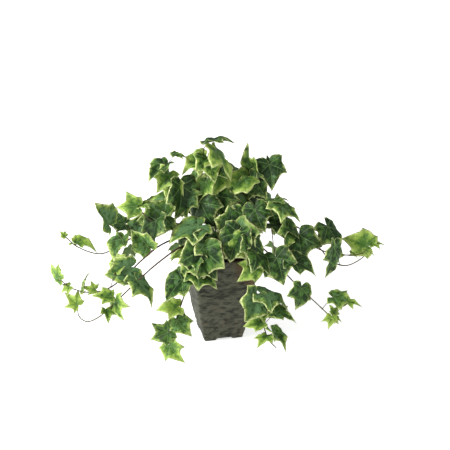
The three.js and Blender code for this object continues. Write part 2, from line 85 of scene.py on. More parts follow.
# ---- the plant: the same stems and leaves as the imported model's, in millimetres ----
# A leaf is (place along the stem, stalk length, blade length, compass heading of its tip, degrees
# its tip hangs below level, degrees it is rolled about its midrib). A leaf that lists no roll has
# one by rule. Headings are 0 to +X and 90 to +Y.
FRONT_STEMS = [
    ("left_high", 255,
     [(-25, 5), (-50, -5, 200), (-115, -20, 208), (-160, -40, 192), (-200, -50, 174),
      (-238, -55, 188), (-258, -60, 209)],
     [(0.52, 30, 32, 190, -5, 55), (0.55, 6, 38, 60, -60, 20), (0.6, 10, 42, 235, 30),
      (0.62, 65, 46, 235, -60, -50), (0.93, 4, 36, 350, 5, 45), (1, 3, 12, 170, -40)]),
    ("left_middle", 260,
     [(-25, -15), (-40, -30, 188), (-70, -45, 200), (-100, -65, 196), (-130, -80, 176),
      (-160, -100, 153), (-190, -115, 138), (-220, -118, 135), (-248, -118, 144),
      (-264, -118, 159)],
     [(0.42, 12, 40, 160, -40, 30), (0.57, 6, 44, 195, 15), (0.65, 25, 30, 110, -30),
      (0.75, 30, 26, 60, -50, 40), (0.79, 8, 22, 200, -15), (0.88, 5, 30, 80, -55, 50),
      (0.93, 4, 18, 200, 20), (1, 3, 33, 140, -30)]),
    ("left_curl", 265,
     [(-20, -25), (-30, -45, 180), (-60, -65, 195), (-100, -95, 180), (-140, -115, 150),
      (-170, -130, 125), (-200, -140, 100), (-220, -145, 94), (-233, -143, 104),
      (-234, -138, 120)],
     [(0.15, 12, 38, 200, 20), (0.58, 5, 50, 320, 35), (0.72, 5, 36, 290, 50, -35),
      (0.75, 14, 30, 190, -10), (0.81, 5, 26, 290, 25), (1, 3, 30, 160, -35)]),
    ("front_left", 268,
     [(-10, -30), (-20, -50, 174), (-40, -75, 172), (-52, -92, 145), (-60, -102, 118),
      (-75, -118, 75), (-85, -130, 36)],
     [(0.3, 12, 38, 190, -5), (0.5, 14, 46, 210, 35, -20), (0.7, 8, 34, 190, 0),
      (0.8, 8, 36, 320, 45), (0.9, 10, 36, 185, 30), (1, 6, 36, 310, 40)]),
    ("front_right", 275,
     [(12, -30), (25, -48, 172), (45, -70, 170), (60, -90, 130), (70, -105, 86),
      (83, -122, 48), (96, -130, 36)],
     [(0.6, 8, 46, 235, 50, 30), (0.6, 14, 50, 350, 15), (0.73, 6, 26, 340, 20),
      (0.8, 6, 32, 190, 10), (0.84, 30, 38, 350, 5), (0.9, 6, 28, 240, 10),
      (0.93, 18, 40, 320, 30, 30)]),
    ("right_high", 285,
     [(30, 15), (45, 18, 185), (75, 20, 205), (108, 22, 201), (144, 24, 185),
      (178, 24, 147), (197, 20, 126), (223, 16, 120), (253, 12, 140), (261, 8, 158)],
     [(0.4, 34, 36, 170, -20, 50), (0.55, 46, 52, 320, 40, 10), (0.8, 18, 24, 120, -40),
      (1, 6, 46, 165, -20, 25), (1, 8, 24, 5, -10, 40)]),
    ("right_second", 278,
     [(30, -5), (42, -8, 182), (80, -12, 205), (120, -15, 200), (156, -18, 176),
      (185, -20, 163), (232, -20, 157), (247, -20, 161)],
     [(0.36, 8, 46, 350, 10, 30), (0.45, 8, 42, 265, 45), (0.55, 5, 50, 285, 60),
      (0.78, 26, 56, 250, 65, 50), (0.94, 5, 18, 350, 30, 50), (1, 5, 20, 350, 10, 50)]),
    ("right_low", 278,
     [(25, -20), (38, -38, 180), (65, -55, 192), (90, -68, 175), (113, -80, 150),
      (131, -88, 133), (161, -98, 107), (190, -105, 80)],
     [(0.45, 8, 48, 300, 45), (0.58, 25, 46, 350, 15, 20), (0.72, 8, 38, 250, 60, 50),
      (0.88, 30, 38, 350, 10, 20), (0.97, 40, 26, 350, 0), (0.97, 8, 20, 60, -20),
      (1, 4, 22, 260, 35), (1, 4, 18, 340, 20)]),
    ("top_left", 262,
     [(-15, 12), (-22, 10, 200), (-45, 5, 245), (-75, 5, 280), (-90, 8, 310)],
     [(0.5, 20, 48, 300, 45), (0.6, 10, 40, 240, 50, -30), (0.7, 18, 40, 205, 65, 35),
      (0.78, 12, 58, 280, 70, 30), (0.92, 14, 38, 225, 50, 25), (1, 4, 42, 215, 20),
      (1, 22, 24, 20, 5, 40)]),
    ("top_middle", 270,
     [(-5, 15), (-8, 20, 210), (-15, 24, 270), (-28, 25, 334)],
     [(0.5, 20, 46, 300, 50), (0.62, 20, 42, 230, 50, -35), (0.75, 28, 28, 320, 30),
      (0.85, 10, 44, 200, 20), (0.85, 14, 46, 290, 40, 20), (0.87, 36, 58, 320, 40, 62),
      (1, 16, 44, 12, -10, 66)]),
    ("top_right", 280,
     [(15, 18), (22, 22, 210), (42, 28, 260), (70, 35, 290), (84, 38, 298)],
     [(0.55, 12, 52, 350, 15, 35), (0.62, 10, 46, 250, 45, 20), (0.7, 12, 42, 330, 40),
      (0.8, 12, 46, 215, 25), (0.9, 5, 50, 150, -50, 65),
      (0.97, 6, 16, 90, -60), (1, 8, 46, 290, 50, -25)]),
    ("left_centre", 255,
     [(-28, 5), (-45, -10, 200), (-80, -28, 222), (-113, -40, 230), (-136, -45, 256)],
     [(0.42, 10, 44, 240, 45), (0.58, 14, 52, 185, 15, 25), (0.7, 6, 48, 250, 50),
      (0.97, 4, 24, 20, -20, 50), (1, 4, 36, 180, 0, 30)]),
    ("right_centre", 285,
     [(20, -5), (28, -12, 205), (60, -22, 240), (98, -30, 252)],
     [(0.45, 15, 50, 220, 35, 45), (0.58, 10, 50, 260, 55, -20), (0.72, 10, 42, 290, 45),
      (0.8, 16, 36, 20, -10, 60), (1, 6, 48, 335, 25)]),
    ("crown_left", 264,
     [(-8, -18), (-15, -40, 198), (-22, -65, 205), (-30, -85, 185), (-42, -95, 155)],
     [(0.4, 34, 58, 205, 10, -30), (0.55, 10, 52, 300, 55, 30), (0.68, 10, 60, 260, 65, 25),
      (0.85, 8, 40, 200, 40), (0.85, 8, 42, 330, 35, 20), (1, 5, 44, 345, 25, 30)]),
    ("crown_right", 276,
     [(10, -15), (20, -40, 198), (40, -62, 210), (55, -80, 190), (62, -88, 165)],
     [(0.45, 18, 62, 310, 40), (0.55, 12, 52, 240, 50, -25), (0.7, 10, 46, 200, 35, 30),
      (0.78, 8, 44, 280, 55, 20), (0.92, 8, 48, 325, 40), (1, 4, 38, 215, 30, 35)]),
]
# Each leaf's tone: d dark, g grey-green, m middle green, y yellow-green, l lime.
TONES = {
    "left_high": "dgmgyl", "left_middle": "mgyllyly", "left_curl": "dgyyyl",
    "front_left": "ydlmmy", "front_right": "ggyymym", "right_high": "mdyyy",
    "right_second": "dyddyy", "right_low": "dddmyyll", "top_left": "dgydydm",
    "top_middle": "dydymyd", "top_right": "dmdymdd", "left_centre": "dmdmy",
    "right_centre": "gddmm", "crown_left": "gddmdm", "crown_right": "gdyddy",
}
BACK_TONES = "dmgdymd"
# A tone is (how olive the dark is, how pale the leaf is, how frosted with grey), each 0 to 1.
TONE_PARTS = {"d": (0.15, 0.12, 0.2), "g": (0.1, 0.35, 0.95), "m": (0.65, 0.45, 0.4),
              "y": (0.8, 0.78, 0.2), "l": (0.9, 1.0, 0.1)}
TONE_SPREAD = 0.12  # how far a leaf's own tone may wander from its letter's

ROOT_DEPTH = 3  # of a stem's start below the soil's surface
ROOT_Z = SOIL_TOP / MM - ROOT_DEPTH
# Back stems, each (name, compass heading, reach, height of its crest, height of its tip).
BACK_STEMS = [
    ("back_left", 150, 180, 222, 110),
    ("back_inner_left", 116, 160, 245, 85),
    ("back_middle", 86, 148, 268, 120),
    ("back_right", 52, 168, 228, 90),
]
BACK_SHARES = (0.13, 0.2, 0.42, 0.68, 0.88, 0.97)  # of the reach: root, rim, crest, past, fall, tip
BACK_RIM_Z = 190  # height at which they pass over the rim
BACK_CREST_DROP = 15  # how far they have come down just past the crest
BACK_LEAVES = 6
BACK_FIRST_LEAF = 0.3  # place along the stem
BACK_STALK = 12
BACK_SIZES = (54, 4.5)  # the first blade's length, and the step down to each next one
BACK_SPREADS = (60, 6)  # degrees to either side of the stem's heading, and the step down
BACK_HANGS = (25, 15, 3)  # the least, in degrees, the step up, and how many there are in a cycle
# The upright stem at the back. A pair runs from the lowest leaf to the highest.
CROWN_ROUTE = [(2, 28), (6, 40, 200), (4, 48, 250), (2, 50, 292)]
CROWN_LEAVES = 7
CROWN_PLACES = (0.35, 1)
CROWN_STALKS = (36, 20)
CROWN_SIZES = (56, 44)
CROWN_HANGS = (40, 20)
CROWN_FIRST_HEADING = 70
GOLDEN_ANGLE = 137.5

STEM_STEP = 23  # length of one straight step of a stem; leaves grow where steps meet
STALK_RISE = math.radians(50)
OWN_PIECE_LEAVES = 2  # how many of a stem's leaves are pieces of their own
UPWARD_FACE = 0.95  # pull of straight up on the way that a blade faces
OWN_FACE = 0.4  # pull of the leaf's own heading on it
FACE_SWAY = 30  # degrees that blades sway to either side of their stem's heading
FACE_STEP = 2.4  # radians of that sway from one leaf to the next
ROLL_SWAY = 38  # degrees that blades roll to either side about their midribs
ROLL_STEP = 4.1  # radians of that sway from one leaf to the next
GROWN_LENGTH = 46  # a blade this long, or longer, is fully grown
YOUTH_RANGE = 20  # and one this much shorter is wholly young
YOUTH_BY_LENGTH = 0.65  # share of a leaf's youth that its length gives; its place gives the rest
CURVE_STEPS = 400
SPAN_SAMPLES = 60  # points worked out on each span of a route before they are spaced evenly


def compass(degrees):
    """The level unit vector under a compass heading."""
    angle = math.radians(degrees)
    return np.array([math.cos(angle), math.sin(angle), 0.0])


def unit(vector):
    """The same direction at length one, along the last axis."""
    return vector / np.linalg.norm(vector, axis=-1, keepdims=True)


def rooted(route):
    """The route with its first point set just under the soil's surface."""
    return [(*route[0], ROOT_Z), *route[1:]]


def back_stem(name, heading, reach, crest, tip):
    """A stem that leaves the soil, arches over the rim and hangs at its reach."""
    out = compass(heading)
    heights = (ROOT_Z, BACK_RIM_Z, crest, crest - BACK_CREST_DROP, (crest + tip) / 2, tip)
    route = [(*(out[:2] * reach * share), z) for share, z in zip(BACK_SHARES, heights)]
    leaves = []
    for i in range(BACK_LEAVES):
        place = BACK_FIRST_LEAF + (1 - BACK_FIRST_LEAF) * i / (BACK_LEAVES - 1)
        side = 1 if i % 2 else -1
        size = BACK_SIZES[0] - BACK_SIZES[1] * i
        spread = BACK_SPREADS[0] - BACK_SPREADS[1] * i
        hang = BACK_HANGS[0] + BACK_HANGS[1] * (i % BACK_HANGS[2])
        leaves.append((place, BACK_STALK, size, heading + side * spread, hang))
    return name, heading, route, leaves, OWN_PIECE_LEAVES


def crown_stem():
    """An upright stem whose leaves turn round it by the golden angle."""
    leaves = []
    for i in range(CROWN_LEAVES):
        share = i / (CROWN_LEAVES - 1)
        place, stalk, size, hang = (
            first + (last - first) * share
            for first, last in (CROWN_PLACES, CROWN_STALKS, CROWN_SIZES, CROWN_HANGS))
        leaves.append((place, stalk, size, CROWN_FIRST_HEADING + GOLDEN_ANGLE * i, hang))
    return "crown_back", None, rooted(CROWN_ROUTE), leaves, 0


def front_stem(name, faces, route, leaves):
    """A listed stem."""
    return name, faces, rooted(route), leaves, OWN_PIECE_LEAVES


def stem_curve(route):
    """Points evenly spaced along a centripetal Catmull-Rom curve through the route.

    Each span is a cubic whose end slopes come from its neighbours' distances to the power one
    half; the ends are carried on in a straight line. The points and the length are in metres.
    """
    points = np.array(route, float) * MM
    first = 2 * points[0] - points[1]
    last = 2 * points[-1] - points[-2]
    p = np.vstack([first, points, last])
    gaps = np.sqrt(np.linalg.norm(np.diff(p, axis=0), axis=1))[:, None]
    d0, d1, d2 = gaps[:-2], gaps[1:-1], gaps[2:]
    p0, p1, p2, p3 = p[:-3], p[1:-2], p[2:-1], p[3:]
    start = d1 * ((p1 - p0) / d0 - (p2 - p0) / (d0 + d1) + (p2 - p1) / d1)
    end = d1 * ((p2 - p1) / d1 - (p3 - p1) / (d1 + d2) + (p3 - p2) / d2)
    t = np.linspace(0, 1, SPAN_SAMPLES, endpoint=False)[:, None, None]
    cubic = (p1 + start * t + (3 * (p2 - p1) - 2 * start - end) * t ** 2
             + (2 * (p1 - p2) + start + end) * t ** 3)
    dense = np.vstack([cubic.transpose(1, 0, 2).reshape(-1, 3), points[-1]])
    along = np.concatenate([[0], np.cumsum(np.linalg.norm(np.diff(dense, axis=0), axis=1))])
    even = np.linspace(0, along[-1], CURVE_STEPS + 1)
    return np.stack([np.interp(even, along, dense[:, k]) for k in range(3)], axis=1), along[-1]


def grow_leaf(curve, length, faces, leaf, index):
    """Where a leaf's stalk starts and ends, and which way its blade points and faces."""
    place, stalk, size, heading, hang, *listed = leaf
    roll = math.radians(listed[0] if listed else ROLL_SWAY * math.sin(ROLL_STEP * (index + 1)))
    steps = round(length / (STEM_STEP * MM))
    snapped = round(place * steps) / steps
    root = curve[round(snapped * (len(curve) - 1))]
    out = compass(heading)
    joint = root + stalk * MM * (out * math.cos(STALK_RISE) + UP * math.sin(STALK_RISE))
    drop = math.radians(hang)
    along = out * math.cos(drop) - UP * math.sin(drop)
    turned = heading if faces is None else faces
    light = compass(turned + FACE_SWAY * math.sin(FACE_STEP * index))
    light = light + out * OWN_FACE + UP * UPWARD_FACE
    level = unit(light - along * np.dot(light, along))
    normal = level * math.cos(roll) + np.cross(level, along) * math.sin(roll)
    short = np.clip((GROWN_LENGTH - size) / YOUTH_RANGE, 0, 1)
    youth = short * YOUTH_BY_LENGTH + (1 - YOUTH_BY_LENGTH) * snapped ** 3
    return {"root": root, "joint": joint, "along": along, "normal": normal, "size": size * MM,
            "place": snapped, "youth": float(youth)}


def grow_vines():
    """Every stem with its curve and leaves. Its largest leaves are pieces of their own."""
    listed = [front_stem(*stem) for stem in FRONT_STEMS]
    listed += [back_stem(*stem) for stem in BACK_STEMS]
    listed.append(crown_stem())
    vines = []
    seed = 0
    for name, faces, route, rows, own_count in listed:
        curve, length = stem_curve(route)
        leaves = []
        for index, row in enumerate(rows):
            leaf = grow_leaf(curve, length, faces, row, index)
            seed += 1
            leaf["seed"] = seed
            leaf["tone"] = TONE_PARTS[TONES.get(name, BACK_TONES)[index]]
            leaves.append(leaf)
        by_size = sorted(leaves, key=lambda leaf: -leaf["size"])
        vines.append({"name": name, "curve": curve, "leaves": leaves,
                      "own": by_size[:own_count], "joined": by_size[own_count:]})
    return vines


# ---- surfaces ----
UPRIGHT_LIMIT = 1e-6  # below this a route's plane can't be told, as it stands upright


def closed_surface(rings, first_pole, last_pole):
    """Rings of points joined in order, each end drawn in to a pole, as (points, quads, triangles).

    rings is rows by columns by 3. Quad (i, j) joins ring i to ring i + 1 and column j to j + 1.
    """
    rows, columns = rings.shape[:2]
    points = np.vstack([first_pole[None], rings.reshape(-1, 3), last_pole[None]])
    index = 1 + np.arange(rows * columns).reshape(rows, columns)
    after = np.roll(index, -1, axis=1)
    quads = np.stack([index[:-1], after[:-1], after[1:], index[1:]], axis=-1).reshape(-1, 4)
    start = np.stack([np.zeros(columns, int), after[0], index[0]], axis=-1)
    end = np.stack([np.full(columns, rows * columns + 1), index[-1], after[-1]], axis=-1)
    return points, quads, np.vstack([start, end])


def make_piece(name, surfaces, material, attributes=None):
    """A mesh object of closed surfaces, with its point attributes, riding on the frame's body."""
    points, quads, triangles, offset = [], [], [], 0
    for surface_points, surface_quads, surface_triangles in surfaces:
        points.append(surface_points)
        quads.append(surface_quads + offset)
        triangles.append(surface_triangles + offset)
        offset += len(surface_points)
    points, quads, triangles = np.vstack(points), np.vstack(quads), np.vstack(triangles)
    corners = np.concatenate([quads.ravel(), triangles.ravel()])
    totals = np.concatenate([np.full(len(quads), 4), np.full(len(triangles), 3)])
    mesh = bpy.data.meshes.new(name)
    mesh.vertices.add(len(points))
    mesh.vertices.foreach_set("co", points.astype(np.float32).ravel())
    mesh.loops.add(len(corners))
    mesh.loops.foreach_set("vertex_index", corners.astype(np.int32))
    mesh.polygons.add(len(totals))
    mesh.polygons.foreach_set("loop_start", (np.cumsum(totals) - totals).astype(np.int32))
    mesh.polygons.foreach_set("use_smooth", np.ones(len(totals), bool))
    for attribute_name, values in (attributes or {}).items():
        attribute = mesh.attributes.new(attribute_name, "FLOAT_VECTOR", "POINT")
        attribute.data.foreach_set("vector", np.vstack(values).astype(np.float32).ravel())
    mesh.update(calc_edges=True)
    if mesh.validate():
        raise RuntimeError(f"{name}: the mesh had faces that don't close")
    mesh.materials.append(material)
    piece = bpy.data.objects.new(name, mesh)
    bpy.context.scene.collection.objects.link(piece)
    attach(piece, BODY)
    return piece


def tube(path, radius, sides):
    """A round tube along a path: each ring is a circle square to it, of the radius given there.

    Both ends close to a pole. A side vector that is square to the whole route's plane keeps the
    rings from turning.
    """
    forward = unit(np.gradient(path, axis=0))
    plane = np.cross(path[-1] - path[0], UP)
    if np.linalg.norm(plane) < UPRIGHT_LIMIT:
        plane = np.array([1.0, 0.0, 0.0])
    side = unit(np.cross(forward, unit(plane)))
    other = np.cross(forward, side)
    angle = np.linspace(0, 2 * math.pi, sides, endpoint=False)[None, :, None]
    circle = np.cos(angle) * side[:, None] + np.sin(angle) * other[:, None]
    rings = path[:, None] + circle * np.asarray(radius)[:, None, None]
    tip = path[-1] + forward[-1] * radius[-1]
    return closed_surface(rings, path[0] - forward[0] * radius[0], tip)


def smooth_noise(u, v, columns, rows, rng):
    """Soft value noise: a grid of random heights, wrapped in u, eased between its points.

    u and v count grid cells.
    """
    grid = rng.random((rows + 2, columns)) * 2 - 1
    i, j = np.floor(u).astype(int), np.floor(v).astype(int)
    fu, fv = u - i, v - j
    fu, fv = fu * fu * (3 - 2 * fu), fv * fv * (3 - 2 * fv)
    i0, i1 = i % columns, (i + 1) % columns
    j0, j1 = np.clip(j, 0, rows + 1), np.clip(j + 1, 0, rows + 1)
    low = grid[j0, i0] * (1 - fu) + grid[j0, i1] * fu
    high = grid[j1, i0] * (1 - fu) + grid[j1, i1] * fu
    return low * (1 - fv) + high * fv


def ease(value):
    """0 below 0, 1 above 1, and a smooth step between."""
    t = np.clip(value, 0, 1)
    return t * t * (3 - 2 * t)


def half_side(z):
    """The pot's half width at a height: a power curve from its foot out to its rim."""
    fall = np.clip(1 - z / POT_HEIGHT, 0, 1) ** POT_FLARE
    return RIM_HALF - (RIM_HALF - FOOT_HALF) * fall


def rounded_square(columns):
    """Points round a square of half side 1 whose corners are arcs, evenly spaced, from +X."""
    straight = 1 - CORNER_SHARE
    arc = CORNER_SHARE * math.pi / 2
    quarter = 2 * straight + arc
    share = np.linspace(0, 4, columns, endpoint=False)
    turn = np.floor(share)
    d = (share - turn) * quarter
    bend = np.clip((d - straight) / CORNER_SHARE, 0, math.pi / 2)
    x = straight + CORNER_SHARE * np.cos(bend)
    y = np.minimum(d, straight) + CORNER_SHARE * np.sin(bend)
    x = x - np.clip(d - straight - arc, 0, None)
    angle = turn * math.pi / 2
    c, s = np.cos(angle), np.sin(angle)
    return np.stack([x * c - y * s, x * s + y * c], axis=1)


def level_row(square, half, z):
    """The square's points at a half side and a height, or a height for each."""
    return np.column_stack([square * half, np.full(len(square), z)])


def turned(points):
    """The points turned with the pot about the upright axis."""
    c, s = math.cos(POT_TURN), math.sin(POT_TURN)
    x, y, z = points[..., 0], points[..., 1], points[..., 2]
    return np.stack([x * c - y * s, x * s + y * c, z], axis=-1)


# ---- shader maths ----
class Value:
    """A number that varies over a surface. Operators add Math nodes."""

    def __init__(self, shader, socket):
        self.shader = shader
        self.socket = socket

    def math(self, operation, *others):
        return self.shader.node("ShaderNodeMath", {"operation": operation},
                                [self, *others]).value(0)

    def __add__(self, other):
        return self.math("ADD", other)

    __radd__ = __add__

    def __mul__(self, other):
        return self.math("MULTIPLY", other)

    __rmul__ = __mul__

    def __sub__(self, other):
        return self.math("SUBTRACT", other)

    def __rsub__(self, other):
        return (self * -1).math("ADD", other)

    def __abs__(self):
        return self.math("ABSOLUTE")

    def least(self, other):
        return self.math("MINIMUM", other)

    def most(self, other):
        return self.math("MAXIMUM", other)

    def step(self, low, high):
        """0 at low, 1 at high, eased between."""
        settings = {"interpolation_type": "SMOOTHSTEP"}
        return self.shader.node("ShaderNodeMapRange", settings,
                                {"Value": self, "From Min": low, "From Max": high}).value("Result")


class Made:
    """A node that has been added, and its outputs."""

    def __init__(self, shader, node):
        self.shader = shader
        self.node = node

    def value(self, name):
        return Value(self.shader, self.node.outputs[name])


class Shader:
    """A material's node tree, with one method that adds any node."""

    def __init__(self, name):
        self.material = bpy.data.materials.new(name)
        self.material.use_nodes = True
        self.tree = self.material.node_tree
        self.surface = self.tree.nodes["Principled BSDF"]

    def node(self, kind, settings=None, inputs=None):
        """Adds a node, sets its settings, then its sockets, by name or in order."""
        made = self.tree.nodes.new(kind)
        for key, setting in (settings or {}).items():
            setattr(made, key, setting)
        pairs = inputs.items() if isinstance(inputs, dict) else enumerate(inputs or [])
        for key, given in pairs:
            self.feed(made.inputs[key], given)
        return Made(self, made)

    def feed(self, socket, given):
        """Links a value to a socket, or sets the socket's own number or colour."""
        if isinstance(given, Value):
            self.tree.links.new(given.socket, socket)
        else:
            socket.default_value = given

    def mix(self, factor, first, second):
        """first where factor is 0 and second where it is 1, as colours."""
        made = self.node("ShaderNodeMix", {"data_type": "RGBA"})
        sockets = {s.identifier: s for s in made.node.inputs}
        self.feed(sockets["Factor_Float"], factor)
        self.feed(sockets["A_Color"], first)
        self.feed(sockets["B_Color"], second)
        outputs = {s.identifier: s for s in made.node.outputs}
        return Value(self, outputs["Result_Color"])

    def noise(self, vector, scale, detail=3.0):
        return self.node("ShaderNodeTexNoise", {}, {
            "Vector": vector, "Scale": scale, "Detail": detail, "Roughness": 0.55,
        }).value("Fac")

    def attribute(self, name):
        return self.node("ShaderNodeAttribute", {"attribute_name": name}).value("Vector")

    def parts(self, vector):
        """A vector's three numbers."""
        made = self.node("ShaderNodeSeparateXYZ", {}, [vector])
        return made.value("X"), made.value("Y"), made.value("Z")

    def vector(self, x, y, z):
        return self.node("ShaderNodeCombineXYZ", {}, [x, y, z]).value("Vector")

    def place(self):
        """Object coordinates, in metres."""
        return self.node("ShaderNodeTexCoord").value("Object")

    def stretched(self, place, across, up):
        """Coordinates counted in spots: so many a metre on the level and so many upwards."""
        x, y, z = self.parts(place)
        return self.vector(x * across, y * across, z * up)

    def bump(self, height, distance):
        return self.node("ShaderNodeBump", {}, {
            "Strength": 1.0, "Distance": distance, "Height": height,
        }).value("Normal")

    def finish(self, **sockets):
        """Fills the surface's sockets, and gives the material."""
        for name, given in sockets.items():
            self.feed(self.surface.inputs[name.replace("_", " ")], given)
        return self.material


def rgba(colour):
    return (*colour, 1.0)


# ---- settings ----
def colour_setting(name, description, default):
    return bpy.props.FloatVectorProperty(name=name, description=description, default=default,
                                         subtype="COLOR", size=3, min=0, max=1)


def number_setting(name, description, default, unit="NONE"):
    return bpy.props.FloatProperty(name=name, description=description, default=default,
                                   unit=unit, min=0)


def length_setting(name, description, default):
    return number_setting(name, description, default, "LENGTH")


class IvyPotSettings(bpy.types.PropertyGroup):
    ripple: length_setting("Ripple", "Height of the ripples on the pot's walls", 1.0 * MM)
    # The pot's tone runs from dark to light. Besides the real streaks and chips, it holds painted
    # shade in the ripples' hollows and painted light on their crests.
    dark: colour_setting("Dark", "Colour in the ripples' hollows", (0.022, 0.023, 0.015))
    light: colour_setting("Light", "Colour on the ripples' crests", (0.1, 0.102, 0.072))
    rust: colour_setting("Rust", "Colour of the faint brown stains", (0.13, 0.07, 0.028))


class IvySoilSettings(bpy.types.PropertyGroup):
    lump: length_setting("Lump", "Height of the soil's lumps", 1.6 * MM)
    # The soil's tone runs from dark to light. Besides a real random mottle, it holds painted shade in
    # the gaps between the crumbs.
    dark: colour_setting("Dark", "Colour of the damp soil", (0.012, 0.008, 0.005))
    light: colour_setting("Light", "Colour of its drier crumbs", (0.075, 0.045, 0.026))


class IvyStemSettings(bpy.types.PropertyGroup):
    root_radius: length_setting("Root radius", "A stem's radius at the soil", 1.7 * MM)
    tip_radius: length_setting("Tip radius", "A stem's radius at its tip", 0.9 * MM)
    stalk_radius: length_setting("Stalk radius", "A leaf stalk's radius", 0.75 * MM)
    bark: colour_setting("Bark", "Colour of the old stem", (0.07, 0.036, 0.02))
    shoot: colour_setting("Shoot", "Colour of the young stem", (0.1, 0.085, 0.03))


class IvyLeafSettings(bpy.types.PropertyGroup):
    thickness: length_setting("Thickness", "A blade's thickness", 0.5 * MM)
    dark: colour_setting("Dark", "Colour of a grown leaf's middle", (0.008, 0.030, 0.006))
    olive: colour_setting("Olive", "Colour of a yellower leaf's middle", (0.026, 0.055, 0.006))
    middle: colour_setting("Middle", "Colour of the green between", (0.07, 0.175, 0.024))
    grey: colour_setting("Grey", "Colour of the grey-green patches", (0.1, 0.2, 0.08))
    young: colour_setting("Young", "Colour of a young leaf", (0.29, 0.44, 0.06))
    band: colour_setting("Band", "Colour of the band inside the rim", (0.38, 0.51, 0.11))
    cream: colour_setting("Cream", "Colour of the rim", (0.75, 0.82, 0.35))
    vein: colour_setting("Vein", "Colour of the veins", (0.22, 0.36, 0.12))
    under: colour_setting("Under", "Colour of the underside", (0.13, 0.2, 0.075))


class IvyStageSettings(bpy.types.PropertyGroup):
    elevation: number_setting("Elevation", "Camera's angle above level", math.radians(24), "ROTATION")
    distance: length_setting("Distance", "From the camera to the plant", 2.4)
    lens: number_setting("Lens", "Focal length in millimetres", 111.5)
    aim_height: length_setting("Aim height", "Height that the camera looks at", 0.205)
    key_power: number_setting("Key light", "Power of the main light", 76.0, "POWER")
    surround: number_setting("Surround", "Strength of the white room", 0.4)
    floor_glow: number_setting("Floor glow", "Light that the floor gives off by itself", 0.62)


# ---- materials ----
def pot_material(settings):
    """Dark, matt, rippled stone-like ware.

    Streaks and chips run level over it. Painted shade darkens the ripples' hollows and the
    inner wall, and the ripples' crests and the rim are painted paler. Rust shows as faint stains,
    and as a worn patch high on the corner between +X and -Y.
    """
    s = Shader("rippled_pot")
    place = s.place()
    x, y, z = s.parts(place)
    streak = s.noise(s.stretched(place, 95, 360), 1.0, 4.0)
    chip = s.noise(s.stretched(place, 170, 520), 1.0)
    fine = s.noise(place, 900.0)
    broad = s.noise(place, 28.0)
    # The ripple attribute is a painted shade level. It darkens the ripples' hollows, the underside
    # and the inner wall, and lightens the crests and the rim.
    ripple, _, _ = s.parts(s.attribute("ripple"))
    # The tone mixes that painted shade with the real streaks, chips and mottle.
    tone = (ripple * 0.6 + streak * 0.8 + chip * 0.55 + broad * 0.3 + fine * 0.25).step(0.98, 1.5)
    colour = s.mix(tone, rgba(settings.dark), rgba(settings.light))
    stain = (broad * streak).step(0.3, 0.46) * 0.4
    worn = (x * 18 - y * 12 + z * 6 + broad + chip * 0.6).step(2.65, 3.1) * 0.75
    colour = s.mix(stain.most(worn), colour, rgba(settings.rust))
    height = streak * 0.6 + chip * 0.5 + fine * 0.25
    return s.finish(Base_Color=colour, Roughness=fine * 0.2 + 0.68, Normal=s.bump(height, 0.9 * MM),
                    Specular_IOR_Level=0.25)


def soil_material(settings):
    """Loose potting mix: round crumbs in a mottled tone, with painted shade in the gaps between them.
    """
    s = Shader("potting_mix")
    place = s.place()
    gap_depth_and_shade = s.node("ShaderNodeTexVoronoi", {}, {"Vector": place, "Scale": 420.0}).value("Distance")
    fine = s.noise(place, 1100.0, 4.0)
    # Painted shade: the tone darkens in the gaps between the crumbs, where the bump sinks, on top of
    # the fine mottle.
    tone = (fine * 0.9 - gap_depth_and_shade * 0.6).step(0.05, 0.6)
    colour = s.mix(tone, rgba(settings.dark), rgba(settings.light))
    return s.finish(Base_Color=colour, Roughness=0.95,
                    Normal=s.bump(fine * 0.5 - gap_depth_and_shade, 1.5 * MM), Specular_IOR_Level=0.2)


def stem_material(settings):
    """Mottled brown bark with a fine grain, which turns green towards the tip."""
    s = Shader("ivy_stem")
    place = s.place()
    age, _, _ = s.parts(s.attribute("age"))
    mottle = s.noise(place, 260.0, 4.0)
    fibre = s.noise(place, 1500.0, 2.0)
    green = (age + mottle * 0.5 - 0.25).step(0.45, 1.0)
    colour = s.mix(green, rgba(settings.bark), rgba(settings.shoot))
    dark = tuple(0.35 * c for c in settings.bark)
    colour = s.mix(mottle.step(0.45, 0.7) * 0.6, colour, rgba(dark))
    return s.finish(Base_Color=colour, Roughness=fibre * 0.2 + 0.5,
                    Normal=s.bump(mottle * 0.5 + fibre * 0.5, 0.25 * MM))


SIDE_ANGLE = 54  # degrees from the tip lobe to a side lobe
BASE_ANGLE = 114  # and to a base lobe
VEIN_SLOPE = 4  # how fast a vein ends behind the stalk
CHEVRONS = 8  # side veins in a blade's length
CHEVRON_SLANT = 7


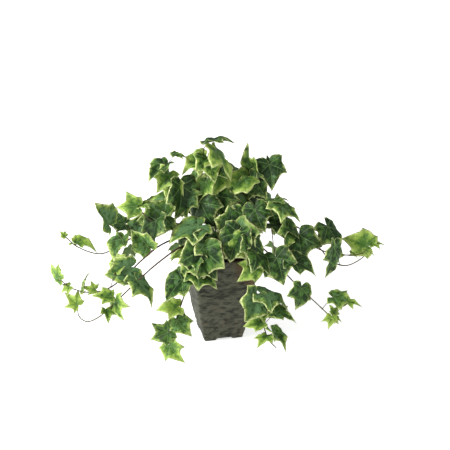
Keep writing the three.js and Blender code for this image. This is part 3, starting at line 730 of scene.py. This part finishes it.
def leaf_material(settings):
    """A waxy, variegated ivy blade.

    The blade attribute is (along, across, seed), in blade lengths. The state attribute is (how far
    out to the rim, youth, 1 on the underside), and the tone attribute is the leaf's own (olive,
    pale, frosted). Five veins run from the stalk to the lobes and side veins leave them in
    chevrons. Dark green fills the middle, breaks up in angular grey-green patches between the
    veins, and gives way to a yellow-green band and a thin cream rim whose widths wander.
    """
    s = Shader("ivy_leaf")
    along, side, seed = s.parts(s.attribute("blade"))
    rim, youth, under = s.parts(s.attribute("state"))
    spot = s.vector(along + seed * 3.7, side, seed * 1.9)
    blotch = s.noise(spot, 5.0)
    across = abs(side)
    near = None
    for degrees in (0, SIDE_ANGLE, BASE_ANGLE):
        c, d = math.cos(math.radians(degrees)), math.sin(math.radians(degrees))
        behind = (along * c + across * d) * -1
        off = abs(along * d - across * c) + behind.most(0.0) * VEIN_SLOPE
        near = off if near is None else near.least(off)
    vein = 1 - near.step(0.004, 0.024)
    reach = (along * along + across * across).math("SQRT")
    chevron = reach * CHEVRONS - near * CHEVRON_SLANT + (blotch - 0.5) * 1.2
    chevron = abs(chevron.math("FRACT") - 0.5)
    side_vein = (1 - chevron.step(0.02, 0.08)) * (1 - near.step(0.1, 0.3)) * rim.step(0.08, 0.25)
    olive, pale, frosted = s.parts(s.attribute("tone"))
    ragged = s.noise(spot, 9.0)
    grain = s.noise(spot, 55.0, 4.0)
    patch = s.node("ShaderNodeTexVoronoi", {}, {"Vector": spot, "Scale": 7.0}).value("Color")
    patch, _, _ = s.parts(patch)
    wander = (ragged - 0.5) * 0.6 + (blotch - 0.5) * 0.8
    colour = s.mix(olive, rgba(settings.dark), rgba(settings.olive))
    middle = (blotch * 1.1 + patch * 0.4 + rim * 0.15 + pale * 0.6).step(0.8, 1.3)
    colour = s.mix(middle * 0.9, colour, rgba(settings.middle))
    grey = (patch * 0.45 + ragged * 0.6 + frosted * 0.55).step(0.8, 1.0)
    colour = s.mix(grey * (1 - rim.step(0.6, 0.9)) * 0.9, colour, rgba(settings.grey))
    lime = (rim * 0.7 + wander * 1.2 + pale * 0.7 + youth * 0.2).step(0.85, 1.35)
    colour = s.mix(lime * 0.9, colour, rgba(settings.young))
    band = (rim + wander + pale * 0.15).step(0.76, 1.04) * (0.2 + pale * 0.8)
    colour = s.mix(band, colour, rgba(settings.band))
    cream = (rim + wander * 0.26 + pale * 0.03).step(0.92, 0.98) * (0.95 - youth * 0.4)
    colour = s.mix(cream, colour, rgba(settings.cream))
    colour = s.mix((vein * 0.42 + side_vein * 0.22).least(0.6), colour, rgba(settings.vein))
    colour = s.mix(grain.step(0.42, 0.7) * 0.38, colour, rgba(settings.dark))
    colour = s.mix(under * 0.6, colour, rgba(settings.under))
    height = vein * -0.6 - side_vein * 0.3 + grain * 0.25
    return s.finish(Base_Color=colour, Roughness=grain * 0.25 + under * 0.2 + 0.36,
                    Normal=s.bump(height, 0.7 * MM), Specular_IOR_Level=0.2)


# ---- pieces ----
POT_COLUMNS = 280
UNDERSIDE_ROWS = 24
UNDERSIDE_SHARES = (0.08, 0.985)  # of the foot's half side
POT_WALL_ROWS = 150
RIM_ROWS = 5
INNER_ROWS = 12
POT_SEED = 11
RIM_ROUNDING = 1.2 * MM
RIM_TURN_START = 0.35  # radians at which the rim's rounding takes over from the walls
ARCH_EDGE = 4 * MM  # length over which an arch rises
RIPPLE_LENGTH = 12 * MM
RIPPLE_RISE = 4.4 * MM  # from one long ripple to the next, up the wall
SMALL_RIPPLE_RISE = 2.6 * MM
WANDER_RISE = 25 * MM  # height over which the ripples wander up and down
RIPPLE_FADES = (0.03, 0.02)  # shares of the height where they fade in at the foot, out at the rim
INNER_START = 1.4 * MM  # depth below the rim at which the inner wall starts
# Painted shade levels, 0 darkest and 1 palest: the rim is painted a little paler than the walls'
# average of 0.5, painted light on the top, and the inner wall a little darker, painted shade inside
# the pot.
RIM_PAINTED_SHADE = 0.6  # as if this high on a ripple, which sets the shade
INNER_PAINTED_SHADE = 0.4
SOIL_COLUMNS = 160
SOIL_SIDE_ROWS = 12
SOIL_TOP_ROWS = 40
SOIL_SEED = 12
LUMP_WIDTH = 4 * MM
LUMP_GRID = (97, 90)  # columns and rows of the soil's noise; the finer one has about twice as many
LUMP_OFFSET = 40  # keeps the count of grid cells above nought


def pot_surface(ripple):
    """The pot as one closed skin, and a painted shade level at each point.

    Rows run out across the underside, up the outer wall, over the rim, down the inner wall and in
    across the floor. Each row is a rounded square scaled to the pot's half side at its height. The
    underside and the wall's foot rise over the arches between the corner feet. On the outer wall the
    shade level is how high the ripples stand, which paints shade into their hollows; the underside is
    painted darkest, the rim a little paler and the inner wall a little darker.
    """
    square = rounded_square(POT_COLUMNS)
    rng = np.random.default_rng(POT_SEED)

    def lift(points):
        to_foot = np.abs(points).min(axis=-1)
        return FOOT_ARCH_HEIGHT * ease((FOOT_ARCH_HALF - to_foot) / ARCH_EDGE + 0.5)

    rows, painted_relief_shade = [], []

    def add_row(half, z, height):
        rows.append(level_row(square, half, z))
        painted_relief_shade.append(np.full(POT_COLUMNS, height))

    # The underside is given level 0: painted shade under the pot.
    for half in FOOT_HALF * np.linspace(*UNDERSIDE_SHARES, UNDERSIDE_ROWS):
        add_row(half, lift(square * half), 0.0)
    foot = lift(square * FOOT_HALF)
    t = np.linspace(0.004, 1, POT_WALL_ROWS)[:, None]
    z = foot + (POT_HEIGHT - RIM_ROUNDING - foot) * t
    columns = round(8 * RIM_HALF / RIPPLE_LENGTH)
    around = np.linspace(0, columns, POT_COLUMNS, endpoint=False)[None, :] + 0 * z
    wander = smooth_noise(around * 0.5, z / WANDER_RISE, columns, 12, rng)
    long_wave = smooth_noise(around, z / RIPPLE_RISE + wander * 1.3, columns, 48, rng)
    short_wave = smooth_noise(around * 2, z / SMALL_RIPPLE_RISE + wander, 2 * columns, 80, rng)
    height = 0.65 * long_wave + 0.35 * short_wave
    edge = ease(t / RIPPLE_FADES[0]) * ease((1 - t) / RIPPLE_FADES[1])
    half = half_side(z) - ripple + height * ripple * edge
    wall = np.stack([square[:, 0] * half, square[:, 1] * half, z], axis=-1)
    rows += list(wall)
    # On the wall, how high each ripple stands is kept as painted shade: darker in the hollows, paler
    # on the crests.
    painted_relief_shade += list(height * 0.5 + 0.5)
    inner_rim = half_side(POT_HEIGHT) - WALL
    for angle in np.linspace(RIM_TURN_START, math.pi - RIM_TURN_START, RIM_ROWS):
        middle = RIM_HALF - ripple - WALL / 2
        half = middle + (WALL / 2 - ripple / 2) * math.cos(angle)
        add_row(half, POT_HEIGHT - RIM_ROUNDING * (1 - math.sin(angle)), RIM_PAINTED_SHADE)
    for depth in np.linspace(INNER_START, POT_HEIGHT - FLOOR, INNER_ROWS):
        z = POT_HEIGHT - depth
        add_row(min(half_side(z) - WALL, inner_rim), z, INNER_PAINTED_SHADE)
    rings = np.stack(rows)
    surface = closed_surface(turned(rings), np.array([0, 0, FOOT_ARCH_HEIGHT]),
                             np.array([0, 0, FLOOR]))
    heights = np.concatenate([[0.5], np.stack(painted_relief_shade).ravel(), [0.5]])
    return surface, np.column_stack([heights, heights, heights])


def soil_surface(lump):
    """The soil as one closed plug: a flat bottom, sides along the pot's wall and a lumpy top."""
    square = rounded_square(SOIL_COLUMNS)
    inset = WALL + SOIL_CLEARANCE
    rows = []
    for z in np.linspace(FLOOR + SOIL_CLEARANCE, SOIL_TOP - 2 * lump, SOIL_SIDE_ROWS):
        rows.append(level_row(square, half_side(z) - inset, z))
    rng = np.random.default_rng(SOIL_SEED)
    half = half_side(SOIL_TOP) - inset
    shares = np.linspace(0.97, 0.03, SOIL_TOP_ROWS)
    flat = square[None] * half * shares[:, None, None]
    u, v = flat[..., 0] / LUMP_WIDTH + LUMP_OFFSET, flat[..., 1] / LUMP_WIDTH + LUMP_OFFSET
    columns, rows_up = LUMP_GRID
    bumps = smooth_noise(u, v, columns, rows_up, rng)
    bumps = bumps + 0.5 * smooth_noise(2 * u, 2 * v, 2 * columns - 1, 2 * rows_up, rng)
    z = SOIL_TOP - lump + bumps * lump * 0.6
    rows += list(np.concatenate([flat, z[..., None]], axis=-1))
    return closed_surface(turned(np.stack(rows)), np.array([0, 0, FLOOR + SOIL_CLEARANCE]),
                          np.array([0, 0, float(z[-1].mean())]))


STEM_ROWS = 70
STEM_SIDES = 10
STALK_ROWS = 9
STALK_SIDES = 7
JOINT_SWELL = 0.35 * MM  # how much thicker a stem is where a leaf joins
JOINT_LENGTH = 0.012  # of that swelling, as a share of the stem's length
STALK_ARCH = 0.12  # how far a stalk arches up, as a share of its length
LARGE_BLADE = 60 * MM  # its stalk has the full radius


def stalk_path(leaf):
    """A stalk's centre line: a quadratic curve that arches up from the stem and into the blade."""
    root, joint = leaf["root"], leaf["joint"]
    bend = root * 0.45 + joint * 0.55 + UP * STALK_ARCH * np.linalg.norm(joint - root)
    t = np.linspace(0, 1, STALK_ROWS)[:, None]
    return root * (1 - t) ** 2 + bend * 2 * t * (1 - t) + joint * t ** 2


def vine_surfaces(vine, settings):
    """A stem that tapers to its tip and swells where leaves join, its stalks, and their ages."""
    rows = np.linspace(0, len(vine["curve"]) - 1, STEM_ROWS).astype(int)
    path = vine["curve"][rows]
    share = np.linspace(0, 1, len(rows))
    radius = settings.root_radius * (1 - share) + settings.tip_radius * share
    for leaf in vine["leaves"]:
        radius = radius + JOINT_SWELL * np.exp(-((share - leaf["place"]) / JOINT_LENGTH) ** 2)
    surfaces = [tube(path, radius, STEM_SIDES)]
    ages = [np.concatenate([[0], np.repeat(share, STEM_SIDES), [1]])]
    for leaf in vine["leaves"]:
        stalk = stalk_path(leaf)
        thin = settings.stalk_radius * (0.75 + 0.25 * leaf["size"] / LARGE_BLADE)
        surfaces.append(tube(stalk, np.linspace(thin, 0.75 * thin, len(stalk)), STALK_SIDES))
        ages.append(np.full(len(surfaces[-1][0]), 0.45 + 0.4 * leaf["youth"]))
    return surfaces, [np.repeat(age[:, None], 3, axis=1) for age in ages]


LOBE_ANGLES = np.radians([0, SIDE_ANGLE, -SIDE_ANGLE, BASE_ANGLE, -BASE_ANGLE])
LOBE_SHARPNESS = 10  # power of the soft maximum that joins the lobes
NOTCH_WIDTH = 0.3  # radians
NOTCH_DEPTH = 0.9  # share of the way in to the stalk
BLADE_COLUMNS = 72
BLADE_ROWS = 9
BLADE_SEED = 1000
BLADE_DRAWS = 14
POINT_CROWDING = 0.11  # how much closer together the columns stand at the lobes' points

# A blade's shape, in blade lengths. A pair is (the usual, how far leaves vary from it).
SIDE_LOBE = (0.76, 0.07)
YOUNG_SIDE_LOBE = 0.05  # how much longer a young leaf's side lobes are
BASE_LOBE = (0.56, 0.07)
LOPSIDED_SIDE = 0.06
LOPSIDED_BASE = 0.05
WEDGE = (40, 5)  # degrees from a lobe's middle line to its edge
YOUNG_WEDGE = 15  # how many fewer a young leaf's has
SIDE_WEDGE = 0.98  # share of the tip lobe's
BASE_WEDGE = 1.15
ARCH = (0.14, 0.06)
FOLD = (0.24, 0.28)
CURL = (0.55, 0.5)
CURL_START = 0.28
CURL_STEEPNESS = 2.2
TIP_BEND = (0.35, 0.35)
TIP_BEND_START = 0.45
QUILTING = 0.045
WAVE = (0.042, 6)  # height, and how many go round the rim
SMALL_WAVE = (0.02, 13)
TWIST = 0.16
SWEEP = 0.16  # how far a tip swings to one side


def blade_reach(angle, lobes, apex):
    """How far the rim is from the stalk, in blade lengths, at each angle from the tip.

    Each lobe is a wedge with its point at the lobe's length and straight sides at its apex angle.
    The rim is a soft maximum of the five, with a notch taken out where the stalk joins.
    """
    total = np.zeros_like(angle)
    for lobe_angle, length, half in zip(LOBE_ANGLES, lobes, apex):
        off = np.abs((angle - lobe_angle + math.pi) % (2 * math.pi) - math.pi)
        waist = math.pi / 2 - half
        wedge = length * math.sin(half) / np.sin(np.minimum(half + off, math.pi / 2))
        wedge = wedge * np.cos(np.clip(off - waist, 0, math.pi / 2)) ** 1.5
        total = total + np.maximum(wedge, 0) ** LOBE_SHARPNESS
    reach = total ** (1 / LOBE_SHARPNESS)
    back = (math.pi - np.abs((angle + math.pi) % (2 * math.pi) - math.pi)) / NOTCH_WIDTH
    return reach * (1 - NOTCH_DEPTH * np.exp(-back ** 2))


def rim_angles():
    """Angles round the blade, closer together at the lobes' points and at the stalk."""
    knots = np.radians([0, SIDE_ANGLE, BASE_ANGLE, 180, 360 - BASE_ANGLE, 360 - SIDE_ANGLE, 360])
    spans = len(knots) - 1
    share = np.arange(BLADE_COLUMNS) * spans / BLADE_COLUMNS
    low = share.astype(int)
    t = share - low
    bunched = t - POINT_CROWDING * np.sin(2 * math.pi * t)
    return knots[low] + (knots[low + 1] - knots[low]) * bunched


def blade_surface(leaf, thickness):
    """One leaf's blade as a closed skin, with its blade, state and tone attributes.

    Rings run out over the upper side to the rim and back under it. Height above the blade's plane
    is the sum of: an arch that falls with distance squared; a fold that rises away from the midrib;
    side lobes that curl down past their middles; a tip that bends down; soft quilting between the
    veins; long and short waves along the rim; and a twist. The tip also swings to one side.
    """
    rng = np.random.default_rng(BLADE_SEED + leaf["seed"])
    vary = rng.uniform(-1, 1, BLADE_DRAWS)
    youth, size = leaf["youth"], leaf["size"]

    def varied(pair, draw):
        return pair[0] + pair[1] * vary[draw]

    side = varied(SIDE_LOBE, 0) + YOUNG_SIDE_LOBE * youth
    base = varied(BASE_LOBE, 1)
    side_lean = LOPSIDED_SIDE * vary[2]
    base_lean = LOPSIDED_BASE * vary[3]
    lobes = [1.0, side + side_lean, side - side_lean, base + base_lean, base - base_lean]
    wide = math.radians(varied(WEDGE, 4) - YOUNG_WEDGE * youth)
    apex = [wide, wide * SIDE_WEDGE, wide * SIDE_WEDGE, wide * BASE_WEDGE, wide * BASE_WEDGE]
    angle = rim_angles()
    reach = blade_reach(angle, lobes, apex)
    out = np.linspace(0, 1, BLADE_ROWS + 1)[1:]
    share = np.concatenate([out, out[-2::-1]])
    upper = np.concatenate([np.ones(BLADE_ROWS - 1), [0], -np.ones(BLADE_ROWS - 1)])
    a = share[:, None] * reach * np.cos(angle)
    c = share[:, None] * reach * np.sin(angle)
    r2 = a * a + c * c
    turn = np.abs((angle + math.pi) % (2 * math.pi) - math.pi)
    between = np.sin(np.clip(turn / math.radians(BASE_ANGLE / 2), 0, 2) * math.pi) ** 2
    curl = varied(CURL, 6) * CURL_STEEPNESS
    height = (-varied(ARCH, 7) * r2 + varied(FOLD, 5) * np.abs(c)
              - curl * np.clip(np.abs(c) - CURL_START, 0, None) ** 2
              - varied(TIP_BEND, 8) * np.clip(a - TIP_BEND_START, 0, None) ** 2
              + QUILTING * between * share[:, None] ** 0.7
              + WAVE[0] * share[:, None] ** 3 * np.sin(WAVE[1] * angle + 6 * vary[9])
              + SMALL_WAVE[0] * share[:, None] ** 4 * np.sin(SMALL_WAVE[1] * angle + 6 * vary[10])
              + TWIST * vary[11] * a * c)
    height = height * size + upper[:, None] * thickness / 2 * (1 - share[:, None] ** 4 * 0.5)
    bend = SWEEP * vary[12] * a * a
    across = np.cross(leaf["normal"], leaf["along"])
    rings = (leaf["joint"] + a[..., None] * size * leaf["along"]
             + (c + bend)[..., None] * size * across + height[..., None] * leaf["normal"])
    top = leaf["joint"] + leaf["normal"] * thickness / 2
    bottom = leaf["joint"] - leaf["normal"] * thickness / 2
    surface = closed_surface(rings[:, ::-1], top, bottom)
    seed = leaf["seed"] * 0.37 % 5
    blade = np.stack([a, c, np.full_like(a, seed)], axis=-1)[:, ::-1].reshape(-1, 3)
    blade = np.vstack([[0, 0, seed], blade, [0, 0, seed]])
    under = np.clip(-upper, 0, 1)[:, None] + 0 * a
    state = np.stack([share[:, None] + 0 * a, youth + 0 * a, under], axis=-1)
    state = state[:, ::-1].reshape(-1, 3)
    state = np.vstack([[0, youth, 0], state, [0, youth, 1]])
    tone = np.tile(np.array(leaf["tone"]) + TONE_SPREAD * rng.uniform(-1, 1, 3), (len(state), 1))
    return surface, blade, state, tone


def make_blades(name, leaves, settings, material):
    """One object of one or more blades."""
    made = [blade_surface(leaf, settings.thickness) for leaf in leaves]
    attributes = {"blade": [m[1] for m in made], "state": [m[2] for m in made],
                  "tone": [m[3] for m in made]}
    piece = make_piece(name, [m[0] for m in made], material, attributes)
    return piece


# ---- the stage ----
AIM_ASIDE = 6.5 * MM  # how far right of the middle of the plant's spread the camera looks
SENSOR_WIDTH = 36  # millimetres
STAGE_REACH = 6.0
# Each lamp's (name, place from what the camera looks at, size, share of the main light's power).
LAMPS = [
    ("key", (-2.0, -0.95, 1.4), 0.9, 1.0),
    ("fill", (1.5, -1.2, 0.9), 1.4, 0.15),
    ("side", (-2.2, 0.1, 0.1), 0.8, 0.3),
]


# ---- operators ----
class IVY_OT_stage(bpy.types.Operator):
    """Sets the camera, the pale floor, the white room and the soft lights"""

    bl_idname = "ivy.stage"
    bl_label = "Stage"

    def execute(self, context):
        settings = context.scene.ivy_stage
        low, high = CAD_BOX
        aim = Vector(((low.x + high.x) / 2 + AIM_ASIDE, 0, settings.aim_height))
        back = Vector((0, -math.cos(settings.elevation), math.sin(settings.elevation)))
        lens = bpy.data.cameras.new("camera")
        lens.lens = settings.lens
        lens.sensor_width = SENSOR_WIDTH
        camera = bpy.data.objects.new("camera", lens)
        camera.location = aim + back * settings.distance
        camera.rotation_euler = (-back).to_track_quat("-Z", "Y").to_euler()
        context.scene.collection.objects.link(camera)
        context.scene.camera = camera
        context.scene.view_settings.view_transform = "Standard"
        self.add_floor(context, settings.floor_glow)
        for name, place, size, share in LAMPS:
            self.add_light(context, name, aim, place, size, settings.key_power * share)
        self.add_room(context, settings.surround)
        return {"FINISHED"}

    def add_room(self, context, strength):
        world = bpy.data.worlds.new("white_room")
        world.use_nodes = True
        room = world.node_tree.nodes["Background"]
        room.inputs["Color"].default_value = (1, 1, 1, 1)
        room.inputs["Strength"].default_value = strength
        context.scene.world = world

    def add_floor(self, context, glow):
        signs = ((-1, -1), (1, -1), (1, 1), (-1, 1))
        corners = [(x * STAGE_REACH, y * STAGE_REACH, 0) for x, y in signs]
        mesh = bpy.data.meshes.new("floor")
        mesh.from_pydata(corners, [], [(0, 1, 2, 3)])
        shader = Shader("pale_floor")
        mesh.materials.append(shader.finish(
            Base_Color=(0.93, 0.93, 0.93, 1), Roughness=0.9, Specular_IOR_Level=0.1,
            Emission_Color=(1, 1, 1, 1), Emission_Strength=glow))
        floor = bpy.data.objects.new("floor", mesh)
        context.scene.collection.objects.link(floor)

    def add_light(self, context, name, aim, place, size, power):
        light = bpy.data.lights.new(name, "AREA")
        light.shape = "DISK"
        light.size = size
        light.energy = power
        lamp = bpy.data.objects.new(name, light)
        lamp.location = aim + Vector(place)
        lamp.rotation_euler = (-Vector(place)).to_track_quat("-Z", "Y").to_euler()
        context.scene.collection.objects.link(lamp)


class IVY_OT_pot(bpy.types.Operator):
    """Makes the square, rippled pot"""

    bl_idname = "ivy.pot"
    bl_label = "Pot"

    def execute(self, context):
        settings = context.scene.ivy_pot
        surface, painted_relief_shade = pot_surface(settings.ripple)
        # The ripple attribute carries the pot's painted shade levels, not only its ripples' heights.
        piece = make_piece("rippled_pot", [surface], pot_material(settings), {"ripple": [painted_relief_shade]})
        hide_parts("pot")
        return {"FINISHED"}


class IVY_OT_soil(bpy.types.Operator):
    """Makes the potting mix"""

    bl_idname = "ivy.soil"
    bl_label = "Soil"

    def execute(self, context):
        settings = context.scene.ivy_soil
        piece = make_piece("potting_mix", [soil_surface(settings.lump)], soil_material(settings))
        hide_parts("soil")
        return {"FINISHED"}


class IVY_OT_stems(bpy.types.Operator):
    """Makes every stem with its leaf stalks"""

    bl_idname = "ivy.stems"
    bl_label = "Stems"

    def execute(self, context):
        settings = context.scene.ivy_stem
        material = stem_material(settings)
        for vine in grow_vines():
            surfaces, ages = vine_surfaces(vine, settings)
            piece = make_piece(f"vine_{vine['name']}", surfaces, material, {"age": ages})
            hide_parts(f"stem_{vine['name']}")
        return {"FINISHED"}


class IVY_OT_leaves(bpy.types.Operator):
    """Makes every leaf's blade"""

    bl_idname = "ivy.leaves"
    bl_label = "Leaves"

    def execute(self, context):
        settings = context.scene.ivy_leaf
        material = leaf_material(settings)
        for vine in grow_vines():
            for number, leaf in enumerate(vine["own"], 1):
                piece = make_blades(f"blade_{vine['name']}_{number}", [leaf], settings, material)
                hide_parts(f"leaf_{vine['name']}_{number}")
            if vine["joined"]:
                make_blades(f"blades_{vine['name']}", vine["joined"], settings, material)
        return {"FINISHED"}


class IVY_PT_panel(bpy.types.Panel):
    """Lists the ivy's settings and what makes each piece"""

    bl_idname = "IVY_PT_panel"
    bl_label = "Potted ivy"
    bl_space_type = "VIEW_3D"
    bl_region_type = "UI"
    bl_category = "Ivy"

    def draw(self, context):
        for operator, group in MAKERS:
            box = self.layout.box()
            box.operator(operator.bl_idname)
            settings = getattr(context.scene, group)
            for name in settings.__annotations__:
                box.prop(settings, name)


MAKERS = (
    (IVY_OT_stage, "ivy_stage"),
    (IVY_OT_pot, "ivy_pot"),
    (IVY_OT_soil, "ivy_soil"),
    (IVY_OT_stems, "ivy_stem"),
    (IVY_OT_leaves, "ivy_leaf"),
)
SETTINGS = {
    "ivy_stage": IvyStageSettings,
    "ivy_pot": IvyPotSettings,
    "ivy_soil": IvySoilSettings,
    "ivy_stem": IvyStemSettings,
    "ivy_leaf": IvyLeafSettings,
}
CLASSES = (*SETTINGS.values(), *(operator for operator, _ in MAKERS), IVY_PT_panel)


def register():
    for cls in CLASSES:
        bpy.utils.register_class(cls)
    for name, group in SETTINGS.items():
        setattr(bpy.types.Scene, name, bpy.props.PointerProperty(type=group))


def unregister():
    for name in SETTINGS:
        delattr(bpy.types.Scene, name)
    for cls in reversed(CLASSES):
        bpy.utils.unregister_class(cls)


def main():
    register()
    bpy.ops.ivy.stage()
    bpy.ops.ivy.pot()
    bpy.ops.ivy.soil()
    bpy.ops.ivy.stems()
    bpy.ops.ivy.leaves()


if __name__ == "__main__":
    main()
